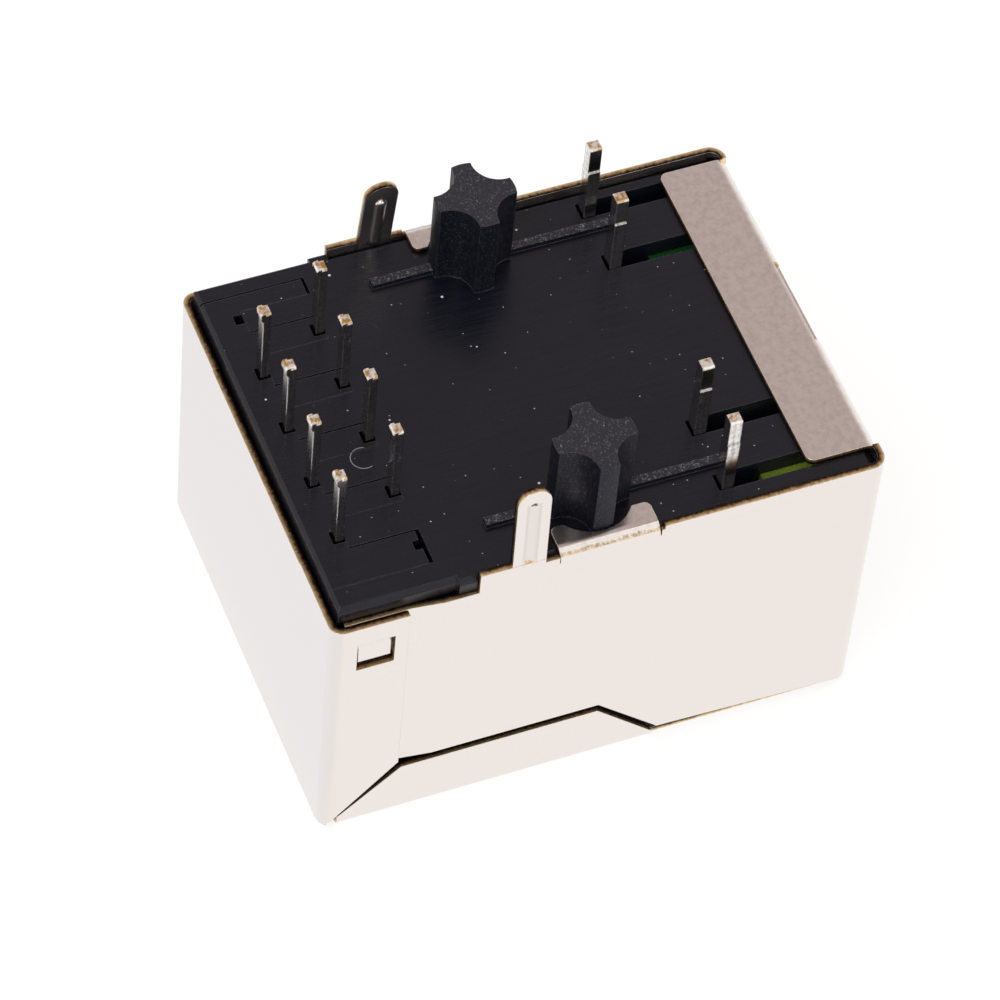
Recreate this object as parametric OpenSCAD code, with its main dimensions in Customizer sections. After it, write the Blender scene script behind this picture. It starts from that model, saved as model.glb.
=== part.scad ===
// Shielded modular jack with magnetics, lying on its top cover with the board side up.
// Plug mouth faces -Y, rear panel faces +Y, pins point up +Z, floor at z = 0.

/* [Shell] */
// Width over the shell's side panels
body_w = 15.64; // [15.54:0.05:15.74]
// Depth from the front panel to the rear panel
body_d = 20.9; // [20.6:0.1:21.3]
// Height from the top cover to the board
body_h = 13.2; // [13:0.1:13.6]
// Step of the two rear flaps outside the side panels
flap_out = 0.145; // [0.12:0.005:0.17]
// Thickness of the shell sheet
sheet = 0.25; // [0.22:0.01:0.26]
// Outer radius of the folds
bend_r = 0.5; // [0.45:0.01:0.55]
// Outer radius of the two upright front folds
corner_r = 0.6; // [0.5:0.05:0.65]
// Height of the rear panel and of the flaps beside it
rear_h = 12.25; // [12:0.05:12.4]
// Reach of the front strip over the board side
strip_reach = 2.7; // [2.3:0.1:2.9]
// Mean distance from the strip's ends to the side panels
strip_gap = 0.845; // [0.8:0.005:1]
// Height of the trapezoid flap on the top cover
trap_h = 2.79; // [2.5:0.01:2.9]

/* [Board side] */
// Distance of the locating posts from each other
post_span = 11.43; // [11.3:0.01:11.5]
// Diameter over the four arms of a post
post_d = 3; // [2.8:0.05:3.1]
// Rise of the posts over the board plane
post_rise = 3.4; // [3:0.1:3.8]
// Pitch of the signal pins in one row
pin_pitch = 2.54; // [2.5:0.01:2.58]
// Distance between the two pin rows
row_gap = 2.54; // [2.5:0.01:2.58]
// Distance of the inner pin row behind the posts
row_back = 6.3; // [6.25:0.01:6.4]
// Distance of the outer pin row ahead of the rear panel
rear_gap = 1.41; // [1.35:0.01:1.5]
// Width of the flat signal pins
pin_w = 0.46; // [0.4:0.02:0.5]
// Thickness of the flat signal pins
pin_t = 0.3; // [0.25:0.01:0.32]
// Rise of the signal pins over the board plane
pin_rise = 3.34; // [3:0.02:3.6]
// Length of the board tabs over the board plane
tab_rise = 3.9; // [3.4:0.05:4.2]
// Width of a board tab
tab_w = 1.25; // [1.1:0.05:1.3]

/* [LEDs] */
// Distance of each LED from the middle of the jack
led_out = 5.26; // [5.2:0.01:5.3]
// Distance of the LED leads ahead of the posts
led_ahead = 4.88; // [4.8:0.02:5]
// Rise of the LED leads over the board plane
led_rise = 3.46; // [3:0.02:3.6]
// Side of the square LED leads
led_side = 0.46; // [0.4:0.02:0.46]

/* [Plug cavity] */
// Width of the plug cavity
plug_w = 11.9; // [11.7:0.1:12.1]
// Height of the plug cavity without the latch steps
plug_h = 6.9; // [6.7:0.1:7]
// Pitch of the spring contacts
contact_pitch = 1.016; // [1:0.004:1.03]
// Side of the square contact wire
contact_side = 0.36; // [0.3:0.02:0.4]

/* [Hidden] */
hw = body_w / 2;
hd = body_d / 2;
iw = hw - sheet;
fw = hw + flap_out;
zt = body_h;
zp = zt - sheet;
fit = 0.03;
post_x = post_span / 2;
row_out = hd - rear_gap;
row_in = row_out - row_gap;
post_y = row_in - row_back;
led_y = post_y - led_ahead;
lead_gap = 2.54;
shift = 0.17;
strip_w = body_w - 2 * strip_gap;
notch_w = 3.8;
lead_shift = 0.07;
jog = 0.14;
jog_a = hd - 4.2;
jog_b = hd - 3;
flap_y = hd - 2.85;
side_end = hd - 0.55;
step_y = post_y + 4.8;
ledge = 0.7;
ramp_a = post_y - 2.9;
ramp_b = post_y - 0.4;
gap_z = 0.38;
tab_y = post_y + 3;
flap_a = post_y - 1.95;
flap_b = post_y + 1.8;
edge_near = 0.2;
edge_far = 0.08;
edge_fold = bend_r - sheet - fit;
pin_lip = 0.09;
rib_w = 0.34;
rib_h = 0.22;
cav_z = 1.95;
cav_back = post_y + 0.7;
comb_top = cav_z + 2.4;
wall_in = iw - 0.97;
room_top = zp - 1.65;
block_low = zp - 1.95;
block_r = iw - 0.77;
block_l = 1.05 - iw;
seam = 0.06;
snug = 0.015;
slot = 0.16;
carrier_floor = plug_w / 2 - 0.6;
carrier_wall = wall_in - 0.2;
carrier_front = 1.15 - hd;
carrier_t = 1.6;
seat_gap = 0.15;
shoulder = 2.2;
through = 40;
pcb_top = zp - 3.25;
pcb_t = 0.8;
pcb_low = pcb_top - pcb_t;
pin_low = pcb_low - 0.5;
rear_in = hd - sheet - 0.1;
wall_t = 0.4;
led_w = 2.8;
led_h = 2.44;
led_front = 0.06 - hd;
led_back = led_y - 1.66;
led_low = zt - 3.48;
lead_low = zt - 2.9;
tail_y = cav_back + 1.55;
wire_z = 1.15;
ring_d = 2.9;
ring_h = 2.2;
choke_d = 2.2;
choke_h = 1.6;
ring_gap = 0.35;
ring_y = rear_in - wall_t - ring_gap - ring_d / 2;
choke_y = ring_y - ring_d / 2 - ring_gap - choke_d / 2;
ring_pitch = (wall_in - 0.2) / 2;
shelf_t = 0.8;
shelf_z = pin_low - 0.2 - ring_h;
chip_y = row_in - 1.75;
res_l = 1.6;
res_gap = 0.5;
cap_l = 3.2;

function pin_x(i) = (3.5 - i) * pin_pitch / 2;
function pin_y(i) = i % 2 == 0 ? row_in : row_out;
function contact_x(i) = (3.5 - i) * contact_pitch;
function ring_x(i) = (1.5 - i) * ring_pitch;
function res_x(i) = (cap_l + res_l) / 2 + res_gap + i * (res_l + res_gap);

// A quarter ring with two short legs in the first quadrant: the section of a fold
module fold_section(r = bend_r) {
    leg = 0.05;
    intersection() {
        difference() {
            circle(r = r, $fn = 64);
            circle(r = r - sheet, $fn = 64);
        }
        square([r, r]);
    }
    translate([r - sheet, -leg])
        square([sheet, leg + 0.001]);
    translate([-leg, r - sheet])
        square([leg + 0.001, sheet]);
}

// Draws a y-z outline across the jack from x = a to x = b
module across(a, b) {
    translate([a, 0, 0])
        rotate([90, 0, 90])
            linear_extrude(height = b - a)
                children();
}

// Draws an x-z outline along the jack from y = a to y = b
module along(a, b) {
    translate([0, b, 0])
        rotate([90, 0, 0])
            linear_extrude(height = b - a)
                children();
}

// The same shape on both sides of the jack
module both_sides() {
    children();
    mirror([1, 0, 0])
        children();
}

// Flat path of a bent wire: straight legs with round joints
module wire_path(p, w) {
    for (i = [0 : len(p) - 2])
        translate(p[i])
            rotate(atan2(p[i + 1][1] - p[i][1], p[i + 1][0] - p[i][0]))
                translate([0, -w / 2])
                    square([norm(p[i + 1] - p[i]), w]);
    for (i = [1 : len(p) - 2])
        translate(p[i])
            circle(d = w, $fn = 24);
}

// Wire of rectangular section standing on end, with a bevelled tip
module upright_wire(w, t, low, top, c) {
    intersection() {
        translate([-w / 2, -t / 2, low])
            cube([w, t, top - low]);
        across(-w, w)
            wire_face(t, low, top, c / 3);
        along(-w, w)
            wire_face(w, low, top, c);
    }
}

// One face of a bevelled wire
module wire_face(w, low, top, c) {
    h = w / 2;
    polygon([
        [-h, low],
        [h, low],
        [h, top - 2 * c],
        [h - c, top],
        [-h + c, top],
        [-h, top - 2 * c]
    ]);
}

// Plan of the front panel, its two vertical folds and the side panels
module wrap_plan() {
    translate([corner_r - hw, -hd])
        square([body_w - 2 * corner_r, sheet]);
    both_sides() {
        translate([hw - corner_r, corner_r - hd])
            rotate(-90)
                fold_section(corner_r);
        polygon([
            [iw, corner_r - hd],
            [hw, corner_r - hd],
            [hw, jog_a],
            [hw - jog, jog_b],
            [hw - jog, side_end],
            [iw - jog, side_end],
            [iw - jog, jog_b],
            [iw, jog_a]
        ]);
    }
}

// Outline of the front wrap seen from the side
module wrap_outline() {
    polygon([
        [-hd - 1, 0.36],
        [ramp_a, 0.72],
        [ramp_b, trap_h + gap_z],
        [hd, trap_h + gap_z],
        [hd, rear_h],
        [step_y, rear_h],
        [step_y, zt],
        [-hd - 1, zt]
    ]);
}

// Plan of the rear panel, its two vertical folds and the latch flaps
module rear_plan() {
    translate([bend_r - fw, hd - sheet])
        square([2 * fw - 2 * bend_r, sheet]);
    both_sides() {
        translate([fw - bend_r, hd - bend_r])
            fold_section();
        translate([fw - sheet, flap_y])
            square([sheet, hd - bend_r - flap_y]);
    }
}

// Outline of the rear wrap seen from the side
module rear_outline() {
    polygon([
        [flap_y, rear_h],
        [flap_y, trap_h + 0.6],
        [hd - 0.4, 0.78],
        [hd - sheet, 0.66],
        [hd - sheet, bend_r],
        [hd + 1, bend_r],
        [hd + 1, rear_h]
    ]);
}

// Front strip with rounded inner corners and the latch notch in its fold
module strip() {
    a = shift - strip_w / 2;
    r = 0.3;
    difference() {
        union() {
            translate([a, bend_r - hd, zp])
                cube([strip_w, strip_reach - bend_r - r, sheet]);
            translate([a + r, bend_r - hd, zp])
                cube([strip_w - 2 * r, strip_reach - bend_r, sheet]);
            for (x = [a + r, a + strip_w - r])
                translate([x, strip_reach - hd - r, zp])
                    cylinder(r = r, h = sheet, $fn = 32);
            translate([0, bend_r - hd, zt - bend_r])
                across(a, a + strip_w)
                    rotate(90)
                        fold_section();
        }
        translate([shift - notch_w / 2, -hd - 1, zt - 2])
            cube([notch_w, 1.28, 3]);
    }
}

// Mouth of the shell: plug cavity, latch slot and two LED windows
module mouth_outline() {
    translate([-plug_w / 2, cav_z])
        square([plug_w, plug_h]);
    translate([-3.15, cav_z])
        square([6.3, plug_h + 1.5]);
    translate([shift - notch_w / 2, cav_z])
        square([notch_w, zt - cav_z - 0.6]);
    both_sides()
        translate([led_out - led_w / 2 - 0.02, led_low - 0.02])
            square([led_w + 0.04, led_h + 0.04]);
}

// Retention flap: folds in over the plate and hollows out around its post
module retention_flap() {
    r = 0.25;
    x_in = hw - 1.22;
    translate([hw - bend_r, 0, zt - bend_r])
        along(flap_a, flap_b)
            fold_section();
    difference() {
        union() {
            translate([x_in + r, flap_a, zp])
                cube([hw - bend_r - x_in - r, flap_b - flap_a, sheet]);
            translate([x_in, flap_a + r, zp])
                cube([hw - bend_r - x_in, flap_b - flap_a - 2 * r, sheet]);
            for (y = [flap_a + r, flap_b - r])
                translate([x_in + r, y, zp])
                    cylinder(r = r, h = sheet, $fn = 32);
        }
        translate([post_x, post_y, zp - 1])
            cylinder(d = post_d + 0.12, h = 3, $fn = 64);
    }
}

// Board tab with a round end, a pressed groove and a dimple; lean tips it inward
module board_tab(rise, lean) {
    r = tab_w / 2;
    translate([hw, tab_y, zt - 0.5])
        rotate([0, -lean, 0])
            difference() {
                union() {
                    translate([-sheet, -r, -0.2])
                        cube([sheet, tab_w, rise + 0.7 - r]);
                    translate([-sheet, 0, rise + 0.5 - r])
                        rotate([0, 90, 0])
                            cylinder(r = r, h = sheet, $fn = 48);
                }
                translate([0.3, 0, 0.4])
                    cylinder(r = 0.36, h = rise - 0.65, $fn = 32);
                translate([-0.12, 0.05, rise - 0.2])
                    rotate([0, 90, 0])
                        cylinder(r = 0.09, h = 1, $fn = 16);
            }
}

// Latch tongue pressed out of the side panel through the window of the flap
module latch_tongue() {
    along(hd - 2.2, hd - 1)
        polygon([
            [iw - jog, rear_h - 0.9],
            [hw - jog, rear_h - 0.9],
            [fw - 0.05, rear_h - 1.25],
            [fw - fit, rear_h - 1.95],
            [fw - fit - sheet, rear_h - 1.95],
            [fw - 0.05 - sheet, rear_h - 1.25]
        ]);
}

// The whole folded shell, one sheet
module shield_shell() {
    color("#D9D2C8") {
        difference() {
            intersection() {
                linear_extrude(height = zt)
                    wrap_plan();
                across(-hw - 1, hw + 1)
                    wrap_outline();
            }
            along(-hd - 1, -hd + 0.4)
                mouth_outline();
            translate([shift - strip_w / 2, -hd - 1, zt - bend_r])
                cube([strip_w, 1 + bend_r, 5]);
            translate([corner_r - hw, -hd - 1, -1])
                cube([body_w - 2 * corner_r, 1 + bend_r, 1 + bend_r]);
            both_sides() {
                translate([hw - bend_r, flap_a - 0.04, zt - bend_r])
                    cube([5, flap_b - flap_a + 0.08, 5]);
                translate([hw - bend_r, flap_a - 0.15, zt - 0.2])
                    cube([5, tab_y - tab_w / 2 - flap_a + 0.15, 5]);
                translate([5, hd - 2.3, rear_h - 2.1])
                    cube([5, 1.4, 1.2]);
            }
        }
        strip();
        both_sides() {
            retention_flap();
            latch_tongue();
            translate([hw - bend_r, 0, bend_r])
                along(ramp_a + 0.2, hd - 0.7)
                    rotate(-90)
                        fold_section();
            across(iw, hw)
                polygon([
                    [ramp_a + 0.2, bend_r - 0.01],
                    [ramp_b, trap_h],
                    [flap_y - 0.2, trap_h],
                    [hd - 0.7, 0.7],
                    [hd - 0.7, bend_r - 0.01]
                ]);
            translate([-0.1, bend_r - hd, 0])
                cube([iw - fit + 0.1, ramp_a + hd - bend_r + 0.1, sheet]);
            translate([-0.1, ramp_a, 0])
                cube([hw - bend_r + 0.1, hd - bend_r - ramp_a, sheet]);
        }
        mirror([1, 0, 0])
            board_tab(tab_rise, 1.5);
        board_tab(tab_rise - 0.4, 8);
        translate([0, bend_r - hd, bend_r])
            across(corner_r - hw, hw - corner_r)
                rotate(180)
                    fold_section();
        translate([0, hd - bend_r, bend_r])
            across(bend_r - hw, hw - bend_r)
                rotate(-90)
                    fold_section();
        difference() {
            intersection() {
                linear_extrude(height = zt)
                    rear_plan();
                across(-fw - 1, fw + 1)
                    rear_outline();
            }
            translate([-4.6, hd - 1, rear_h - 0.08])
                cube([9, 2, 1]);
            both_sides()
                translate([5, hd - 2.35, rear_h - 2.4])
                    cube([5, 1.4, 1.45]);
        }
    }
}

// Cross section of the moulding: half width h below, g above the panels' rear edges,
// with the far upper edge bevelled by e
module moulding_section(h, g, e) {
    c = 0.3;
    low = sheet + fit;
    z = rear_h + 0.06;
    polygon([
        [c - h, low],
        [h - c, low],
        [h, low + c],
        [h, z],
        [g, z],
        [g, zp - e],
        [g - e, zp],
        [edge_near - g, zp],
        [-g, zp - edge_near],
        [-g, z],
        [-h, z],
        [-h, low + c]
    ]);
}

// Side view of the moulding with bevelled front and rear edges
module moulding_side() {
    c = 0.3;
    low = sheet + fit;
    f = sheet + fit - hd;
    polygon([
        [f + c, low],
        [rear_in - 0.15, low],
        [rear_in, low + 0.15],
        [rear_in, zp - 0.12],
        [rear_in - 0.12, zp],
        [f + c, zp],
        [f, zp - c],
        [f, low + c]
    ]);
}

// Plan of the pin block: rear bar with comb fingers.
// In its seat the fingers are wider by p towards +X, by m towards -X and reach f further
module block_plan(p, m, f) {
    front = row_in - 0.22 - f;
    bar = row_out - 0.22 - f;
    translate([block_l - m, bar])
        square([block_r - block_l + p + m, 5]);
    translate([block_l - m, row_in - 0.1 - f])
        square([pin_x(7) - 0.61 - block_l + p + m, 3]);
    translate([pin_x(-1) + 0.37 - m, front])
        square([block_r - pin_x(-1) - 0.37 + p + m, 3]);
    for (i = [0 : 2 : 6]) {
        translate([pin_x(i) - 0.49 - m, front])
            square([1.07 + p + m, 3]);
        translate([pin_x(i) - 0.655 - m, bar])
            square([1.2 + p + m, 1]);
    }
}

// Star section of a locating post: a round post with four flutes
module post_section() {
    k = post_d / 3;
    difference() {
        circle(d = post_d, $fn = 64);
        for (a = [45 : 90 : 315])
            rotate(a)
                translate([1.93 * k, 0])
                    circle(r = 1 * k, $fn = 48);
    }
}

// Pocket and lead channels of one LED
module led_room(s) {
    x = s * led_out;
    w = led_w + 0.12;
    translate([x - w / 2, -hd - 1, led_low - 0.06])
        cube([w, led_back + hd + 1.06, led_h + 0.12]);
    for (e = [-1, 1])
        translate([x + e * lead_gap / 2 + lead_shift - 0.37, 0, 0]) {
            translate([0, strip_reach - hd - 2.2, zt - 1.5])
                cube([0.74, led_y + 0.3 - strip_reach + hd + 2.2, 3]);
            translate([0, led_back - 0.5, lead_low - 0.06])
                cube([0.74, led_y + 0.3 - led_back + 0.5, 4]);
        }
}

// Black moulding with cavity, plate, posts and ribs
module housing() {
    color("#26242B")
        difference() {
            union() {
                intersection() {
                    union() {
                        along(-hd, step_y - fit)
                            moulding_section(iw - fit, iw - fit, edge_fold);
                        along(step_y - 0.1, step_y + ledge)
                            moulding_section(iw - fit, iw - fit, edge_fold);
                        along(step_y + fit, step_y + ledge)
                            moulding_section(iw - 0.5, iw + 0.1, edge_far);
                        along(step_y + ledge - 0.1, rear_in)
                            moulding_section(iw - jog - 0.07, iw - 0.07, edge_far);
                    }
                    across(-hw, hw)
                        moulding_side();
                }
                both_sides()
                    translate([post_x, post_y, zp - 0.5])
                        linear_extrude(height = post_rise + sheet + 0.5)
                            post_section();
                for (x = [post_x, 0.12 - post_x])
                    translate([x - rib_w / 2, 0, zp - 0.5]) {
                        translate([0, post_y + 1.3, 0])
                            cube([rib_w, 2.5, 0.5 + rib_h]);
                        translate([0, led_y - 0.55, 0])
                            cube([rib_w, post_y - led_y - 0.75, 0.5 + rib_h]);
                    }
            }
            // Slots of the front corners that clear the shell's vertical folds
            both_sides()
                translate([iw - fit, sheet + fit - hd, 0])
                    rotate(45)
                        cube([0.45, 0.45, 40], center = true);
            plug_cavity();
            led_room(-1);
            led_room(1);
            // Seat of the contact carrier
            translate([-carrier_floor - seat_gap, carrier_front - seat_gap, 0])
                cube([
                    2 * (carrier_floor + seat_gap),
                    cav_back + 1 + seat_gap - carrier_front,
                    cav_z + 0.1
                ]);
            // Room for the magnetics behind the cavity
            translate([-wall_in, cav_back + 0.7, 0])
                cube([2 * wall_in, hd, room_top]);
            // Comb seat of the pin block, with the wide slots before its outer fingers
            translate([0, 0, block_low])
                linear_extrude(height = 3)
                    block_plan(seam, snug, snug);
            translate([block_l, row_in - 0.1 - slot, block_low])
                cube([pin_x(7) - 0.61 - block_l + seam, 1, 3]);
            translate([pin_x(-1) + 0.37, row_in - 0.22 - 0.7 * slot, block_low])
                cube([block_r - pin_x(-1) - 0.37 + seam, 1, 3]);
        }
    // Ledges that carry the circuit board
    color("#26242B")
        both_sides()
            translate([wall_in - 0.5, cav_back + 1.2, pcb_low - 0.7])
                cube([0.6, 5.5, 0.7]);
}

// Plug cavity with latch steps; guide ribs between the contacts stay standing
module plug_cavity() {
    difference() {
        along(-hd - 1, cav_back) {
            translate([-plug_w / 2, cav_z])
                square([plug_w, plug_h]);
            translate([-3.15, cav_z])
                square([6.3, plug_h + 1.5]);
            translate([shift - notch_w / 2, cav_z])
                square([notch_w, plug_h + 3.2]);
        }
        for (i = [0 : 8])
            translate([(i - 4) * contact_pitch - 0.22, post_y - 2.6, cav_z - 1])
                cube([0.44, 5, comb_top - cav_z + 1]);
    }
}

// Rear moulding: comb plate that carries the pins, and the wall below it
module pin_block() {
    color("#242229")
        difference() {
            union() {
                intersection() {
                    translate([0, 0, block_low])
                        linear_extrude(height = zp - block_low)
                            block_plan(0, 0, 0);
                    across(-hw, hw)
                        moulding_side();
                }
                translate([0.08 - wall_in, rear_in - wall_t, sheet + 0.4])
                    cube([2 * wall_in - 0.16, wall_t, block_low - sheet]);
                translate([0.08 - wall_in, tail_y + 1, shelf_z - shelf_t])
                    cube([2 * wall_in - 0.16, rear_in - tail_y - 1.1, shelf_t]);
            }
            // Holes of the pins, open to the seams in front
            for (i = [0 : 7])
                translate([pin_x(i), pin_y(i), 0])
                    cube([pin_w + 0.1, pin_t + 0.16, through], center = true);
            // Unused hole at the end of the outer row
            translate([pin_x(-1) - 0.2, row_out - 0.2, zp - 1])
                cube([0.42, 0.34, 5]);
            // Notch in the near front corner
            translate([block_l + 0.67, row_in - 0.3, zp - 1])
                cube([0.4, 0.46, 5]);
        }
}

// Carrier that holds the spring contacts under the cavity and up to the board
module contact_carrier() {
    z_top = cav_z - 0.05;
    w = contact_side + 0.12;
    color("#2B2A30")
        difference() {
            union() {
                translate([-carrier_floor, carrier_front, sheet + fit])
                    cube([2 * carrier_floor, cav_back + 0.8 - carrier_front, z_top - sheet - fit]);
                translate([-carrier_wall, cav_back + 0.75, sheet + fit])
                    cube([2 * carrier_wall, carrier_t, pcb_low - 1.2 - sheet - fit]);
            }
            for (i = [0 : 7])
                translate([contact_x(i) - w / 2, -hd, wire_z - w / 2])
                    cube([w, tail_y + hd + 0.35, 9]);
        }
}

// Circuit board with holes for pins and contact tails
module circuit_board() {
    color("#2F6B3A")
        difference() {
            translate([0.1 - wall_in, cav_back + 0.95, pcb_low])
                cube([2 * wall_in - 0.2, rear_in - wall_t - cav_back - 1, pcb_t]);
            for (i = [0 : 7]) {
                translate([pin_x(i), pin_y(i), 0])
                    cylinder(d = pin_w + 0.2, h = through, $fn = 24);
                translate([contact_x(i), tail_y, 0])
                    cylinder(d = contact_side * 1.6, h = through, $fn = 24);
            }
        }
}

// One signal pin; the cut has pressed its tip out a little toward the rear
module signal_pin(i) {
    back = pin_y(i) + pin_t / 2;
    tip = zt + pin_rise;
    color("#D8D4CC") {
        translate([pin_x(i), pin_y(i), 0])
            upright_wire(pin_w, pin_t, pin_low, tip, 0.06);
        across(pin_x(i) - pin_w / 2, pin_x(i) + pin_w / 2)
            polygon([
                [back - 0.1, tip - 0.45],
                [back, tip - 0.45],
                [back + pin_lip, tip - 0.25],
                [back + pin_lip, tip - 0.08],
                [back + pin_lip - 0.06, tip],
                [back - 0.1, tip]
            ]);
    }
}

// One spring contact: tail at the board, run under the cavity, sprung leg into it
module contact(i) {
    color("#E3B23C")
        across(contact_x(i) - contact_side / 2, contact_x(i) + contact_side / 2)
            wire_path([
                [tail_y, pcb_top + 0.5],
                [tail_y, wire_z],
                [1.75 - hd, wire_z],
                [1.45 - hd, wire_z + 0.3],
                [1.75 - hd, wire_z + 0.65],
                [post_y - 2.7, comb_top - 0.45],
                [post_y - 1.4, comb_top - 0.35]
            ], contact_side);
}

// One LED body with its window at the mouth
module led_body(s) {
    translate([s * led_out - led_w / 2, led_front, led_low])
        cube([led_w, led_back - led_front, led_h]);
}

// One LED lead: out of the body, back along its channel, then up past a shoulder
module led_lead(s, e) {
    x = s * led_out + e * lead_gap / 2;
    w = led_side;
    color("#D6D3CE") {
        translate([x, led_y, 0])
            upright_wire(w, w, lead_low, zt + led_rise, 0.05);
        translate([x - w / 2 - 0.05, led_y - w / 2, zt - 1.4])
            cube([w + 0.1, w, 1.4 + shoulder]);
        translate([x - w / 2, led_back, lead_low])
            cube([w, led_y - led_back, w]);
    }
}

// Ferrite ring on the shelf under the circuit board
module ring(x, y, d, h) {
    color("#5A4A42")
        translate([x, y, shelf_z])
            rotate_extrude($fn = 64)
                translate([d * 0.225, 0])
                    ring_section(d * 0.275, h);
}

// Rounded section of a ferrite ring
module ring_section(w, h) {
    r = min(w, h) * 0.3;
    translate([r, 0])
        square([w - 2 * r, h]);
    translate([0, r])
        square([w, h - 2 * r]);
    for (x = [r, w - r])
        for (y = [r, h - r])
            translate([x, y])
                circle(r = r, $fn = 24);
}

// Chip part on the upper face of the circuit board
module chip(x, l, w, h) {
    translate([x - l / 2, chip_y - w / 2, pcb_top])
        cube([l, w, h]);
}

shield_shell();
housing();
pin_block();
contact_carrier();
circuit_board();
signal_pin(0);  // signal_pin_1
signal_pin(1);  // signal_pin_2
signal_pin(2);  // signal_pin_3
signal_pin(3);  // signal_pin_4
signal_pin(4);  // signal_pin_5
signal_pin(5);  // signal_pin_6
signal_pin(6);  // signal_pin_7
signal_pin(7);  // signal_pin_8
contact(0);  // contact_1
contact(1);  // contact_2
contact(2);  // contact_3
contact(3);  // contact_4
contact(4);  // contact_5
contact(5);  // contact_6
contact(6);  // contact_7
contact(7);  // contact_8
color("#4FBF5A") led_body(1);  // led_green
color("#C9D84A") led_body(-1);  // led_yellow
led_lead(1, 1);  // led_lead_1
led_lead(1, -1);  // led_lead_2
led_lead(-1, 1);  // led_lead_3
led_lead(-1, -1);  // led_lead_4
ring(ring_x(0), ring_y, ring_d, ring_h);  // transformer_1
ring(ring_x(1), ring_y, ring_d, ring_h);  // transformer_2
ring(ring_x(2), ring_y, ring_d, ring_h);  // transformer_3
ring(ring_x(3), ring_y, ring_d, ring_h);  // transformer_4
ring(ring_x(0), choke_y, choke_d, choke_h);  // choke_1
ring(ring_x(1), choke_y, choke_d, choke_h);  // choke_2
ring(ring_x(2), choke_y, choke_d, choke_h);  // choke_3
ring(ring_x(3), choke_y, choke_d, choke_h);  // choke_4
color("#C8A878") chip(0, cap_l, 1.2, 1.1);  // capacitor
color("#3A3A40") chip(res_x(1), res_l, 0.8, 0.45);  // resistor_1
color("#3A3A40") chip(res_x(0), res_l, 0.8, 0.45);  // resistor_2
color("#3A3A40") chip(-res_x(0), res_l, 0.8, 0.45);  // resistor_3
color("#3A3A40") chip(-res_x(1), res_l, 0.8, 0.45);  // resistor_4
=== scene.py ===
import bpy
import bmesh
import math
from mathutils import Matrix, Vector
from mathutils.bvhtree import BVHTree


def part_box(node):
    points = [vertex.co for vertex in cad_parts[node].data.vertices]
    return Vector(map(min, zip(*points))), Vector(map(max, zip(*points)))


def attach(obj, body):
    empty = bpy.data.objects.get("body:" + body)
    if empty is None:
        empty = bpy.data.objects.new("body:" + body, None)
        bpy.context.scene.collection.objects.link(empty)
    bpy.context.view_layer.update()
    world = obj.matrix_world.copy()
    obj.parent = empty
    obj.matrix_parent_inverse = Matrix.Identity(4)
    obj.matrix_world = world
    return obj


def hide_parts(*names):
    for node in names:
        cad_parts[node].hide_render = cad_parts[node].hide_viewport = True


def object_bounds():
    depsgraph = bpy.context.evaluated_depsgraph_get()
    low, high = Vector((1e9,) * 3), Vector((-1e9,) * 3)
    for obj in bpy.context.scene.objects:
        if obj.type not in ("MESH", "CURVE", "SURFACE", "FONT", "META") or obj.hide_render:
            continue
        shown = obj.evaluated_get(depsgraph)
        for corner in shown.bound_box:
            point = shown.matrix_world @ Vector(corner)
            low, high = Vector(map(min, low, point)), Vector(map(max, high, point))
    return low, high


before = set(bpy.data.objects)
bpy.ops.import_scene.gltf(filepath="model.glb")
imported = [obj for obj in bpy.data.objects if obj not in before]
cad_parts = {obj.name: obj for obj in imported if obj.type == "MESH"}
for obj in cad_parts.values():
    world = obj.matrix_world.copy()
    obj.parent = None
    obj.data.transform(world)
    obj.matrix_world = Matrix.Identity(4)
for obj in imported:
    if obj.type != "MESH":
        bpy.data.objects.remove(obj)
cadLow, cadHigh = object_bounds()
mm = 0.001

# heights that the looks follow, read from the frame
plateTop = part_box("pin_block")[1].z / mm
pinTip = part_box("signal_pin_1")[1].z / mm
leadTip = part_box("led_lead_1")[1].z / mm
print("frame read:", len(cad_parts), "nodes")


def linear(hexColour):
    parts = [int(hexColour[i:i + 2], 16) / 255 for i in (1, 3, 5)]
    return [c / 12.92 if c <= 0.04045 else ((c + 0.055) / 1.055) ** 2.4 for c in parts] + [1.0]


camera = {
    "azimuth": 243.977, "elevation": 52.545, "roll": 5.978,            # degrees
    "aim": (-0.509, 1.172, 7.0), "distance": 201.874,                  # mm
    "lens": 200.657, "sensor": 36, "shift": (0.003611, -0.002456), "clip": (0.01, 20),
}


def makeCamera(rig):
    az, el, roll = (math.radians(rig[k]) for k in ("azimuth", "elevation", "roll"))
    back = Vector((math.sin(az) * math.cos(el), -math.cos(az) * math.cos(el), math.sin(el)))
    side = (-back).cross(Vector((0, 0, 1))).normalized()
    up = side.cross(-back)
    right = side * math.cos(roll) + up * math.sin(roll)
    top = up * math.cos(roll) - side * math.sin(roll)
    data = bpy.data.cameras.new("camera")
    data.lens = rig["lens"]
    data.sensor_width = rig["sensor"]
    data.shift_x, data.shift_y = rig["shift"]
    data.clip_start, data.clip_end = rig["clip"]
    eye = bpy.data.objects.new("camera", data)
    spot = (Vector(rig["aim"]) + back * rig["distance"]) * mm
    eye.matrix_world = Matrix((
        (right.x, top.x, back.x, spot.x),
        (right.y, top.y, back.y, spot.y),
        (right.z, top.z, back.z, spot.z),
        (0, 0, 0, 1)))
    bpy.context.scene.collection.objects.link(eye)
    bpy.context.scene.camera = eye


makeCamera(camera)
print("camera set")


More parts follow.
